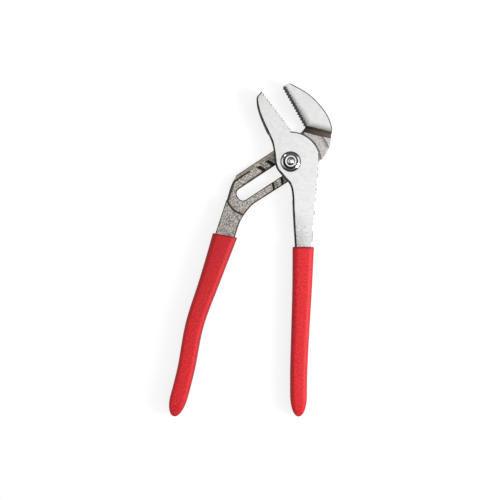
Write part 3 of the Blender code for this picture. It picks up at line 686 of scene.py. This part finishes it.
def round_walls(surface):
    """Breaks up the flats of the curved side walls, so that they turn more gently."""
    joints = []
    for edge in surface.edges:
        ends = edge.verts
        is_upright = (ends[0].co.xy - ends[1].co.xy).length <= MERGE_DISTANCE
        if not is_upright or any(len(end.link_edges) != 3 for end in ends):
            continue
        flats = [beside.calc_length() for end in ends for beside in end.link_edges if beside != edge]
        if min(flats) > 2 * WALL_EASE and GENTLE_ANGLE < edge.calc_face_angle(0.0) < SHARP_ANGLE:
            joints.append(edge)
    bevel(surface, joints, "EDGES", WALL_EASE, WALL_STEPS)


def is_front_edge(edge):
    """Whether an edge stands out between a front face and a side."""
    if not edge.is_convex or edge.calc_face_angle(0.0) < SHARP_ANGLE:
        return False
    faces = edge.link_faces
    return any(face.normal.z > FRONT_FACE for face in faces) and any(is_side(face) for face in faces)


def ease(surface, wanted, is_fine, wide, settings):
    """Rounds the front edges that are wanted, wide and then fine, and gives them the edge finish."""
    for fine, width in ((False, wide), (True, settings.fine_edge)):
        front = [edge for edge in surface.edges if is_front_edge(edge) and wanted(edge)]
        edges = [edge for edge in front if bool(is_fine(edge)) is fine]
        for face in bevel(surface, edges, "EDGES", width, settings.edge_steps):
            face.material_index = EDGE


class PLIERS_OT_tongue_lever(bpy.types.Operator):
    """Build the front lever: jaw, round head, neck and the tongue behind"""

    bl_idname = "pliers.tongue_lever"
    bl_label = "Tongue Lever"

    def execute(self, context):
        settings = context.scene.pliers_levers
        surface = joined_copy("tongue_lever")
        teeth_out = heading(settings.moving_jaw_angle)
        up_jaw = heading(settings.moving_jaw_angle + math.pi / 2)
        tip = max((vert.co.copy() for vert in surface.verts), key=up_jaw.dot)
        round_walls(surface)
        for face in surface.faces:
            face.material_index = SCALE if is_side(face) else FACE
        front_start = GRIP_HIGH.z - 0.0024
        hole_end = 0.008
        jaw_start = 0.015
        neck_end = 0.020
        head_start, head_left = 0.012, -0.010

        def in_front(edge):
            place = middle_of(edge)
            return place.z > front_start and place.xy.length > hole_end

        def on_teeth(edge):
            place = middle_of(edge)
            return abs((place - tip).dot(teeth_out)) < TEETH_REACH and place.dot(up_jaw) > jaw_start

        def on_head(edge):
            place = middle_of(edge)
            on_arc = abs(place.xy.length - settings.head_radius) < HEAD_ARC_REACH
            return on_arc and place.y > head_start and place.x > head_left

        def on_right(edge):
            faces_right = any(is_side(face) and face.normal.x > 0.0 for face in edge.link_faces)
            return faces_right and middle_of(edge).y < neck_end

        def is_fine(edge):
            return on_head(edge) or on_right(edge) or on_teeth(edge)

        ease(surface, in_front, is_fine, settings.face_edge, settings)
        jaw_reach = tip.dot(up_jaw)
        ground = [satin_steel(settings, jaw_reach), satin_edge(settings, jaw_reach)]
        lever = object_of("satin_tongue_lever", surface, [*ground, forging_scale(settings)])
        flatten_levels(lever)
        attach(lever, "tongue_half")
        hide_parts("tongue_lever")
        return {"FINISHED"}


class PLIERS_OT_slotted_lever(bpy.types.Operator):
    """Build the rear lever: toothed jaw, grooved bar with its slot, and tang"""

    bl_idname = "pliers.slotted_lever"
    bl_label = "Slotted Lever"

    def execute(self, context):
        settings = context.scene.pliers_levers
        surface = joined_copy("slotted_lever")
        behind_teeth = heading(settings.fixed_jaw_angle)
        up_jaw = heading(settings.fixed_jaw_angle + math.pi / 2)
        behind_wall = heading(settings.shoulder_angle)
        jaw_level = LEVER_FRONT - SAME_LEVEL
        jaw = [face for face in surface.faces if face.calc_center_median().z > jaw_level]
        jaw_rim = [vert.co.copy() for face in jaw for vert in face.verts]
        face_start = min(point.dot(behind_teeth) for point in jaw_rim)
        wall_start = min(point.dot(behind_wall) for point in jaw_rim)
        jaw_corner = max(jaw_rim, key=lambda point: point.dot(behind_teeth) - point.dot(behind_wall))
        levels = [face.calc_center_median().z for face in surface.faces if face.normal.z > LEVEL_FACE]
        above_channel = min(levels) + SAME_LEVEL
        tang_level = max(level for level in levels if level < jaw_level)
        wedge_start = 0.0200

        def finish_of(face):
            centre = face.calc_center_median()
            in_channel = centre.dot(behind_wall) >= wall_start - CHANNEL_REACH
            if is_side(face):
                heights = [vert.co.z for vert in face.verts]
                on_bar_only = min(heights) > above_channel and max(heights) < jaw_level
                return FORGED if on_bar_only and not in_channel else SCALE
            if face.normal.z > LEVEL_FACE and centre.z > jaw_level:
                return FACE
            if face.normal.z > LEVEL_FACE and (in_channel or centre.z < above_channel):
                return SCALE
            return STRIP if is_slope(face) else FORGED

        round_walls(surface)
        tang_top = [vert.co.copy() for vert in surface.verts if abs(vert.co.z - tang_level) < SAME_LEVEL]
        tang_heel = max(tang_top, key=lambda point: point.x)
        tang_tail = max(tang_top, key=lambda point: point.y)

        def in_front(edge):
            return middle_of(edge).z > jaw_level

        def is_fine(edge):
            place = middle_of(edge)
            on_wall_rim = place.dot(behind_wall) < wall_start + WALL_RIM_REACH
            at_corner = (place - jaw_corner).length < JAW_CORNER_REACH
            return place.dot(behind_teeth) < face_start + TEETH_REACH or on_wall_rim or at_corner

        def on_arc(edge):
            off = middle_of(edge) - Vector(settings.recess_centre)
            return abs(off.xy.length - settings.recess_radius) < RECESS_ARC_REACH

        def is_tight(edge):
            place = middle_of(edge)
            return on_arc(edge) or (place - tang_heel).length < HEEL_REACH or place.x > wedge_start

        def on_bar(edge):
            foot = min(vert.co.z for face in edge.link_faces if is_side(face) for vert in face.verts)
            in_groove = above_channel < foot < BAR_FRONT - SAME_LEVEL
            at_tail = on_arc(edge) and (middle_of(edge) - tang_tail).length < TAIL_REACH
            if in_front(edge) or in_groove or at_tail:
                return False
            return middle_of(edge).dot(behind_wall) < wall_start - BAR_REACH

        for face in surface.faces:
            face.material_index = finish_of(face)
        ease(surface, on_bar, is_tight, settings.bar_edge, settings)
        ease(surface, in_front, is_fine, settings.jaw_edge, settings)
        finishes = [
            jaw_steel(settings, face_start, wall_start),
            forged_edge(settings, max(point.dot(up_jaw) for point in jaw_rim)),
            forging_scale(settings),
            forged_steel(settings),
            sloped_strip(settings),
        ]
        lever = object_of("forged_slotted_lever", surface, finishes)
        flatten_levels(lever)
        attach(lever, "slotted_half")
        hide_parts("slotted_lever")
        return {"FINISHED"}


def quarter(centre, radius, start, steps=8):
    """Points of radius and level along a quarter of a circle."""
    turns = [math.radians(start + 90 * i / steps) for i in range(steps + 1)]
    return [(centre[0] + radius * math.cos(turn), centre[1] + radius * math.sin(turn)) for turn in turns]


def turned(name, profile, finish, steps):
    """A turned piece about the pivot axis, from a profile of radius and level."""
    surface = bmesh.new()
    corners = [surface.verts.new((radius, 0.0, level)) for radius, level in profile]
    rim = [surface.edges.new(pair) for pair in zip(corners, corners[1:])]
    if profile[0][0] > 0:
        rim.append(surface.edges.new((corners[-1], corners[0])))
    turn = {"axis": (0, 0, 1), "cent": (0, 0, 0), "angle": math.tau, "steps": steps}
    bmesh.ops.spin(surface, geom=corners + rim, use_merge=True, **turn)
    bmesh.ops.remove_doubles(surface, verts=surface.verts, dist=MERGE_DISTANCE)
    bmesh.ops.recalc_face_normals(surface, faces=surface.faces)
    return object_of(name, surface, [finish])


class PLIERS_OT_pivot(bpy.types.Operator):
    """Build the pivot: dished washer, collar nut and domed bolt"""

    bl_idname = "pliers.pivot"
    bl_label = "Pivot"

    def execute(self, context):
        settings = context.scene.pliers_pivot
        chrome = bright_chrome(settings)
        makers = {"pivot_washer": self.washer, "pivot_nut": self.nut, "pivot_bolt": self.bolt}
        for node, make in makers.items():
            piece = make(settings, chrome)
            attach(piece, "pivot")
            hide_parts(node)
        return {"FINISHED"}

    def washer(self, settings, chrome):
        bore = settings.end_radius + settings.clearance
        low, high, rim = WASHER_LOW.z, WASHER_HIGH.z, WASHER_HIGH.x
        crest = rim - settings.crest_inset
        dish = NUT_LOW.z - settings.clearance
        ease, drop = settings.rim_ease, settings.crest_drop
        profile = [
            (bore, low),
            (rim - ease, low),
            (rim, low + ease),
            (rim - ease, low + 2 * ease),
            (crest + ease, high - drop),
            (crest, high),
            (crest - ease, high - drop),
            (crest - settings.dish_slope, dish),
            (bore, dish),
        ]
        return turned("chrome_washer", profile, chrome, settings.turn_steps)

    def nut(self, settings, chrome):
        bore = settings.end_radius + settings.clearance
        low, high, rim = NUT_LOW.z, NUT_HIGH.z, NUT_HIGH.x
        round_off = (rim - bore) / 6
        profile = [
            (bore, low),
            (rim, low),
            *quarter((rim - round_off, high - round_off), round_off, 0),
            *quarter((bore + round_off, high - round_off), round_off, 90)[1:],
        ]
        return turned("chrome_collar_nut", profile, chrome, settings.turn_steps)

    def bolt(self, settings, chrome):
        low, high, ease = BOLT_LOW.z, BOLT_HIGH.z, settings.bolt_ease
        head, shank, end = settings.head_radius, settings.shank_radius, settings.end_radius
        head_top = low + settings.head_height
        neck = high - settings.dome - settings.dome_neck
        dome = (settings.dome_radius**2 + settings.dome**2) / (2 * settings.dome)
        rim_turn = math.asin(settings.dome_radius / dome)
        turns = [rim_turn * (1 - i / DOME_STEPS) for i in range(DOME_STEPS + 1)]
        profile = [
            (0.0, low),
            (head - ease, low),
            (head, low + ease),
            (head, head_top - ease),
            (head - ease, head_top),
            (shank, head_top),
            (shank, LEVER_FRONT - ease),
            (shank - ease, LEVER_FRONT),
            (end, LEVER_FRONT),
            (end, neck - settings.end_ease),
            (end - settings.end_ease, neck),
            (settings.dome_radius, neck),
            *((dome * math.sin(turn), high - dome * (1 - math.cos(turn))) for turn in turns),
        ]
        bolt = turned("chrome_bolt", profile, chrome, settings.turn_steps)
        surface = bmesh.new()
        surface.from_mesh(bolt.data)
        for side in (ACROSS_SLOT, -ACROSS_SLOT):
            bmesh.ops.bisect_plane(
                surface,
                geom=surface.verts[:] + surface.edges[:] + surface.faces[:],
                plane_co=side * settings.head_flat,
                plane_no=side,
                clear_outer=True,
            )
            rim = [edge for edge in surface.edges if edge.is_boundary]
            bmesh.ops.holes_fill(surface, edges=rim, sides=0)
        bmesh.ops.recalc_face_normals(surface, faces=surface.faces)
        surface.to_mesh(bolt.data)
        surface.free()
        bolt.data.set_sharp_from_angle(angle=SHARP_ANGLE)
        return bolt


def smooth_run(points):
    """Points along a smooth curve that passes through all the points given."""
    ends = [2 * points[0] - points[1]] + points + [2 * points[-1] - points[-2]]
    run = []
    for before, start, end, after in zip(ends, ends[1:], ends[2:], ends[3:]):
        span = (end - start).length
        leave = (end - before) * span / (span + (start - before).length)
        arrive = (after - start) * span / (span + (after - end).length)
        steps = max(1, math.ceil(span / CURVE_STEP))
        for i in range(steps):
            t = i / steps
            run.append(
                (2 * t**3 - 3 * t**2 + 1) * start
                + (t**3 - 2 * t**2 + t) * leave
                + (3 * t**2 - 2 * t**3) * end
                + (t**3 - t**2) * arrive
            )
    return run + [points[-1]]


def route_of(sizes):
    """The middle line of a handle, from its grip's mouth to its end."""
    points = [Vector((*sizes.mouth, (GRIP_LOW.z + GRIP_HIGH.z) / 2))]
    for turn in sizes.headings:
        points.append(points[-1] + heading(-math.pi / 2 - turn) * sizes.length / len(sizes.headings))
    return smooth_run(points)


def distances_on(route):
    """The distance of each point of a route from its start."""
    run = [0.0]
    for start, end in zip(route, route[1:]):
        run.append(run[-1] + (end - start).length)
    return run


def places_on(route, distances, tilt, tilt_length):
    """A matrix at each distance down a route: across, up and ahead, tilted at the route's start."""
    run = distances_on(route)
    up = Vector((0.0, 0.0, 1.0))
    places = []
    for distance in distances:
        i = next((j for j in range(len(run) - 2) if run[j + 1] >= distance), len(run) - 2)
        share = (distance - run[i]) / (run[i + 1] - run[i])
        ahead = (route[i + 1] - route[i]).normalized()
        fade = max(0.0, 1.0 - distance / tilt_length)
        ahead.rotate(Matrix.Rotation(tilt * fade, 3, "Z"))
        place = Matrix((up.cross(ahead), up, ahead)).transposed().to_4x4()
        place.translation = route[i].lerp(route[i + 1], share)
        places.append(place)
    return places


def sweep(surface, face, places, halves, distances, keep):
    """Draws a face along the places, scaled to each half width and half height.

    Gives the last face. Each ring of corners keeps its distance from the grip's mouth.
    """
    from_mouth = surface.verts.layers.float["from_mouth"]
    for i in range(1, len(places)):
        wider, higher = (after / before for before, after in zip(halves[i - 1], halves[i]))
        step = places[i] @ Matrix.Diagonal((wider, higher, 1.0, 1.0)) @ places[i - 1].inverted()
        drawn = bmesh.ops.extrude_face_region(surface, geom=[face])["geom"]
        if i > 1 or not keep:
            bmesh.ops.delete(surface, geom=[face], context="FACES_ONLY")
        face = next(item for item in drawn if isinstance(item, bmesh.types.BMFace))
        bmesh.ops.transform(surface, matrix=step, verts=face.verts)
        for vert in face.verts:
            vert[from_mouth] = distances[i]
    return face


def dipped_grip(name, sizes, shared, vinyl):
    """A dipped coat: a hollow sleeve with a rounded rim and a rounded end."""
    route = route_of(sizes)
    length = distances_on(route)[-1]
    end_start = length - shared.end_round
    lip = shared.lip
    half_height = (GRIP_HIGH.z - GRIP_LOW.z) / 2
    rim = [lip * (1 - math.cos(math.pi / 2 * i / RIM_STEPS)) for i in range(RIM_STEPS + 1)]
    body = [lip + (end_start - lip) * i / BODY_STEPS for i in range(1, BODY_STEPS + 1)]
    end = [end_start + shared.end_round * math.sin(math.pi / 2 * i / END_STEPS) for i in range(1, END_STEPS)]
    distances = rim + body + end

    def steel_half(distance):
        fall = (1 - min(1.0, distance / length)) ** sizes.taper
        return (shared.steel_end_width + (sizes.mouth_width - shared.steel_end_width) * fall) / 2

    def halves_at(distance):
        tuck = lip - math.sqrt(max(0.0, lip**2 - max(0.0, lip - distance) ** 2))
        past = max(0.0, (distance - end_start) / shared.end_round)
        shrink = math.sqrt(1 - past**2)
        return (steel_half(distance) + sizes.coat - tuck) * shrink, (half_height - tuck) * shrink

    places = places_on(route, distances, sizes.mouth_turn, shared.tilt_length)
    halves = [halves_at(distance) for distance in distances]
    surface = bmesh.new()
    surface.verts.layers.float.new("from_mouth")
    bmesh.ops.create_grid(surface, x_segments=1, y_segments=1, size=1.0)
    bmesh.ops.scale(surface, vec=(*halves[0], 1.0), verts=surface.verts)
    bevel(surface, surface.verts[:], "VERTICES", shared.corner, CORNER_STEPS)
    bmesh.ops.transform(surface, matrix=places[0], verts=surface.verts)
    mouth = surface.faces[:][0]
    last = sweep(surface, mouth, places, halves, distances, True)
    pole = bmesh.ops.poke(surface, faces=[last])["verts"][0]
    pole.co = route[-1]
    inner = [distance for distance in distances if distance <= length - shared.pocket]
    inner_height = shared.pocket_half_height
    inner_halves = [(steel_half(distance) + shared.clearance, inner_height) for distance in inner]
    rim_inset = lip / 4
    bmesh.ops.inset_region(surface, faces=[mouth], thickness=rim_inset, use_even_offset=True)
    wider, higher = (want / (have - rim_inset) for want, have in zip(inner_halves[0], halves[0]))
    narrow = places[0] @ Matrix.Diagonal((wider, higher, 1.0, 1.0)) @ places[0].inverted()
    bmesh.ops.transform(surface, matrix=narrow, verts=mouth.verts)
    sweep(surface, mouth, places[: len(inner)], inner_halves, inner, False)
    bmesh.ops.recalc_face_normals(surface, faces=surface.faces)
    return object_of(name, surface, [vinyl])


class PLIERS_OT_grips(bpy.types.Operator):
    """Build the two dipped grips"""

    bl_idname = "pliers.grips"
    bl_label = "Dipped Grips"

    def execute(self, context):
        shared = context.scene.pliers_grips
        vinyl = red_vinyl(shared)
        handles = {
            "slotted_half": ("slotted_lever_grip", context.scene.pliers_slotted_grip),
            "tongue_half": ("tongue_lever_grip", context.scene.pliers_tongue_grip),
        }
        for body, (node, sizes) in handles.items():
            grip = dipped_grip("dipped_" + node, sizes, shared, vinyl)
            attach(grip, body)
            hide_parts(node)
        return {"FINISHED"}


class PLIERS_OT_stage(bpy.types.Operator):
    """Build the pale floor, the soft lights and the camera"""

    bl_idname = "pliers.stage"
    bl_label = "Stage"

    def execute(self, context):
        settings = context.scene.pliers_stage
        context.scene.view_settings.view_transform = "Standard"
        self.floor(settings)
        self.sky(context, settings)
        self.softbox(context, "key_softbox", settings.key_place, settings.key_width, settings.key_power)
        self.softbox(context, "fill_softbox", settings.fill_place, settings.fill_width, settings.fill_power)
        self.camera(context, settings)
        return {"FINISHED"}

    def floor(self, settings):
        """A pale floor that is white where it is seen, and keeps the shadow."""
        surface = bmesh.new()
        bmesh.ops.create_grid(surface, x_segments=1, y_segments=1, size=settings.floor_half)
        nodes = FinishNodes("pale_floor")
        rays = nodes.tree.nodes.new("ShaderNodeLightPath").outputs
        seen = nodes.most(rays["Is Camera Ray"], rays["Is Glossy Ray"], rays["Is Transmission Ray"])
        finish = nodes.set(
            Base_Color=settings.floor_colour,
            Roughness=1.0,
            Specular_IOR_Level=0.0,
            Emission_Color=(1.0, 1.0, 1.0),
            Emission_Strength=nodes.product(seen, settings.floor_glow),
        )
        object_of("pale_floor", surface, [finish])

    def sky(self, context, settings):
        """A pale band overhead from side to side, dark towards the jaws and handles, and a pale horizon."""
        world = bpy.data.worlds.new("soft_studio")
        context.scene.world = world
        world.use_nodes = True
        nodes = NodeBench(world.node_tree)
        outward = nodes.add("TexCoord", output="Generated")
        x, y, z = (nodes.part(outward, axis) for axis in "XYZ")
        band = nodes.ramp(nodes.math("ABSOLUTE", y), 0.48, 0.66, 1.0, 0.0)
        near = nodes.ramp(x, -0.40, -0.10, 0.22, 1.0)
        far = nodes.ramp(x, -0.88, -0.75, 1.0, 0.0)
        horizon = nodes.ramp(z, 0.07, 0.16, 1.0, 0.0)
        pale = nodes.most(nodes.product(band, nodes.most(near, far)), horizon)
        sky = nodes.mix(pale, settings.sky_rim, settings.sky_top)
        nodes.give(nodes.tree.nodes["Background"].inputs["Color"], sky)

    def softbox(self, context, name, place, width, power):
        light = bpy.data.lights.new(name, "AREA")
        light.shape = "SQUARE"
        light.size = width
        light.energy = power
        lamp = bpy.data.objects.new(name, light)
        lamp.location = place
        lamp.rotation_euler = (-Vector(place)).to_track_quat("-Z", "Y").to_euler()
        context.scene.collection.objects.link(lamp)

    def camera(self, context, settings):
        lens = bpy.data.cameras.new("camera")
        centre = Vector(settings.view_centre)
        offset = Vector(settings.camera_place)
        lens.lens = lens.sensor_width * offset.length / settings.view_width
        camera = bpy.data.objects.new("camera", lens)
        back = offset.normalized()
        right = Vector((0.0, 1.0, 0.0)).cross(back).normalized()
        turn = Matrix((right, back.cross(right), back)).transposed().to_4x4()
        camera.matrix_world = Matrix.Translation(centre + offset) @ turn
        context.scene.collection.objects.link(camera)
        context.scene.camera = camera


class PLIERS_PT_panel(bpy.types.Panel):
    """The pieces of the pliers, in the order that they are built"""

    bl_idname = "PLIERS_PT_panel"
    bl_label = "Pliers"
    bl_space_type = "VIEW_3D"
    bl_region_type = "UI"
    bl_category = "Pliers"

    def draw(self, context):
        for step in STEPS:
            self.layout.operator(step.bl_idname)


SETTINGS = {
    "pliers_levers": PliersLeverSettings,
    "pliers_pivot": PliersPivotSettings,
    "pliers_slotted_grip": PliersSlottedGripSettings,
    "pliers_tongue_grip": PliersTongueGripSettings,
    "pliers_grips": PliersGripSettings,
    "pliers_stage": PliersStageSettings,
}
STEPS = (PLIERS_OT_tongue_lever, PLIERS_OT_slotted_lever, PLIERS_OT_pivot, PLIERS_OT_grips, PLIERS_OT_stage)


def register():
    for name, group in SETTINGS.items():
        bpy.utils.register_class(group)
        setattr(bpy.types.Scene, name, PointerProperty(type=group))
    for step in STEPS:
        bpy.utils.register_class(step)
    bpy.utils.register_class(PLIERS_PT_panel)


def unregister():
    bpy.utils.unregister_class(PLIERS_PT_panel)
    for step in reversed(STEPS):
        bpy.utils.unregister_class(step)
    for name, group in reversed(SETTINGS.items()):
        delattr(bpy.types.Scene, name)
        bpy.utils.unregister_class(group)


def main():
    register()
    bpy.ops.pliers.tongue_lever()
    bpy.ops.pliers.slotted_lever()
    bpy.ops.pliers.pivot()
    bpy.ops.pliers.grips()
    bpy.ops.pliers.stage()


if __name__ == "__main__":
    main()
